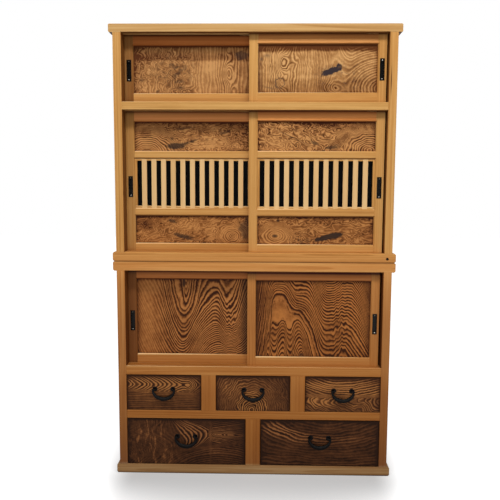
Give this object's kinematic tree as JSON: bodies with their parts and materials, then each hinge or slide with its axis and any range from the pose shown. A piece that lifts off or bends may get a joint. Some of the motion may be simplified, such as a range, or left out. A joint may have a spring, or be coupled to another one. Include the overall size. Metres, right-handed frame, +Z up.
{
  "type": "mizuya kitchen cabinet",
  "caption": "Two-part kitchen cabinet: an upper chest of sliding doors, one row latticed, on a lower chest of sliding doors over drawers with drop handles.",
  "frame": {"origin": "middle of the footprint, on the floor", "axes": "+X to the right seen from the front, +Y to the back, +Z up"},
  "size_m": [1.104, 0.445, 1.76],
  "materials": {
    "frame_wood": "satin",
    "figured_wood": "satin",
    "drawer_wood": "satin",
    "pale_wood": "satin",
    "plain_wood": "matt",
    "iron": "matt",
    "glass": "clear"
  },
  "bodies": {
    "case": {"upper_top_board": "frame_wood", "upper_left_frame": "frame_wood", "upper_right_frame": "frame_wood", "upper_side_panels": "plain_wood", "upper_back_boards": "plain_wood", "upper_middle_rail": "frame_wood", "upper_shelves": "plain_wood", "upper_base_frame": "frame_wood", "lower_top_frame": "frame_wood", "lower_left_frame": "frame_wood", "lower_right_frame": "frame_wood", "lower_side_panels": "plain_wood", "lower_back_boards": "plain_wood", "door_sill_rail": "frame_wood", "lower_shelves": "plain_wood", "drawer_rail": "frame_wood", "drawer_dividers": "frame_wood", "lower_base_frame": "frame_wood"},
    "top_left_door": {"top_left_door_frame": "frame_wood", "top_left_door_panel": "figured_wood", "top_left_door_pull": "iron"},
    "top_right_door": {"top_right_door_frame": "frame_wood", "top_right_door_panel": "figured_wood", "top_right_door_pull": "iron"},
    "middle_left_door": {"middle_left_door_frame": "frame_wood", "middle_left_door_panel": "figured_wood", "middle_left_door_pull": "iron", "middle_left_door_lattice": "pale_wood", "middle_left_door_glass": "glass"},
    "middle_right_door": {"middle_right_door_frame": "frame_wood", "middle_right_door_panel": "figured_wood", "middle_right_door_pull": "iron", "middle_right_door_lattice": "pale_wood", "middle_right_door_glass": "glass"},
    "lower_left_door": {"lower_left_door_frame": "frame_wood", "lower_left_door_panel": "figured_wood", "lower_left_door_pull": "iron"},
    "lower_right_door": {"lower_right_door_frame": "frame_wood", "lower_right_door_panel": "figured_wood", "lower_right_door_pull": "iron"},
    "small_left_drawer": {"small_left_drawer_front": "drawer_wood", "small_left_drawer_box": "plain_wood", "small_left_drawer_posts": "iron"},
    "small_left_drawer_bail": {"small_left_drawer_handle": "iron"},
    "small_middle_drawer": {"small_middle_drawer_front": "drawer_wood", "small_middle_drawer_box": "plain_wood", "small_middle_drawer_posts": "iron"},
    "small_middle_drawer_bail": {"small_middle_drawer_handle": "iron"},
    "small_right_drawer": {"small_right_drawer_front": "drawer_wood", "small_right_drawer_box": "plain_wood", "small_right_drawer_posts": "iron"},
    "small_right_drawer_bail": {"small_right_drawer_handle": "iron"},
    "large_left_drawer": {"large_left_drawer_front": "drawer_wood", "large_left_drawer_box": "plain_wood", "large_left_drawer_posts": "iron"},
    "large_left_drawer_bail": {"large_left_drawer_handle": "iron"},
    "large_right_drawer": {"large_right_drawer_front": "drawer_wood", "large_right_drawer_box": "plain_wood", "large_right_drawer_posts": "iron"},
    "large_right_drawer_bail": {"large_right_drawer_handle": "iron"}
  },
  "joints": [
    {"name": "top_left_door_slide", "type": "slide", "parent": "case", "child": "top_left_door", "axis": [1, 0, 0], "range_m": [0, 0.4865]},
    {"name": "top_right_door_slide", "type": "slide", "parent": "case", "child": "top_right_door", "axis": [1, 0, 0], "range_m": [-0.4825, 0.004]},
    {"name": "middle_left_door_slide", "type": "slide", "parent": "case", "child": "middle_left_door", "axis": [1, 0, 0], "range_m": [0, 0.4865]},
    {"name": "middle_right_door_slide", "type": "slide", "parent": "case", "child": "middle_right_door", "axis": [1, 0, 0], "range_m": [-0.4825, 0.004]},
    {"name": "lower_left_door_slide", "type": "slide", "parent": "case", "child": "lower_left_door", "axis": [1, 0, 0], "range_m": [0, 0.4865]},
    {"name": "lower_right_door_slide", "type": "slide", "parent": "case", "child": "lower_right_door", "axis": [1, 0, 0], "range_m": [-0.479, 0.0075]},
    {"name": "small_left_drawer_slide", "type": "slide", "parent": "case", "child": "small_left_drawer", "axis": [0, -1, 0], "range_m": [0, 0.3]},
    {"name": "small_middle_drawer_slide", "type": "slide", "parent": "case", "child": "small_middle_drawer", "axis": [0, -1, 0], "range_m": [0, 0.3]},
    {"name": "small_right_drawer_slide", "type": "slide", "parent": "case", "child": "small_right_drawer", "axis": [0, -1, 0], "range_m": [0, 0.3]},
    {"name": "large_left_drawer_slide", "type": "slide", "parent": "case", "child": "large_left_drawer", "axis": [0, -1, 0], "range_m": [0, 0.3]},
    {"name": "large_right_drawer_slide", "type": "slide", "parent": "case", "child": "large_right_drawer", "axis": [0, -1, 0], "range_m": [0, 0.3]},
    {"name": "small_left_drawer_bail_swing", "type": "hinge", "parent": "small_left_drawer", "child": "small_left_drawer_bail", "pos_m": [-0.3555, -0.225, 0.349], "axis": [-1, 0, 0], "range_deg": [-10, 190]},
    {"name": "small_middle_drawer_bail_swing", "type": "hinge", "parent": "small_middle_drawer", "child": "small_middle_drawer_bail", "pos_m": [0, -0.225, 0.349], "axis": [-1, 0, 0], "range_deg": [-10, 190]},
    {"name": "small_right_drawer_bail_swing", "type": "hinge", "parent": "small_right_drawer", "child": "small_right_drawer_bail", "pos_m": [0.3555, -0.225, 0.349], "axis": [-1, 0, 0], "range_deg": [-10, 190]},
    {"name": "large_left_drawer_bail_swing", "type": "hinge", "parent": "large_left_drawer", "child": "large_left_drawer_bail", "pos_m": [-0.267, -0.225, 0.154], "axis": [-1, 0, 0], "range_deg": [-10, 190]},
    {"name": "large_right_drawer_bail_swing", "type": "hinge", "parent": "large_right_drawer", "child": "large_right_drawer_bail", "pos_m": [0.267, -0.225, 0.154], "axis": [-1, 0, 0], "range_deg": [-10, 190]}
  ]
}
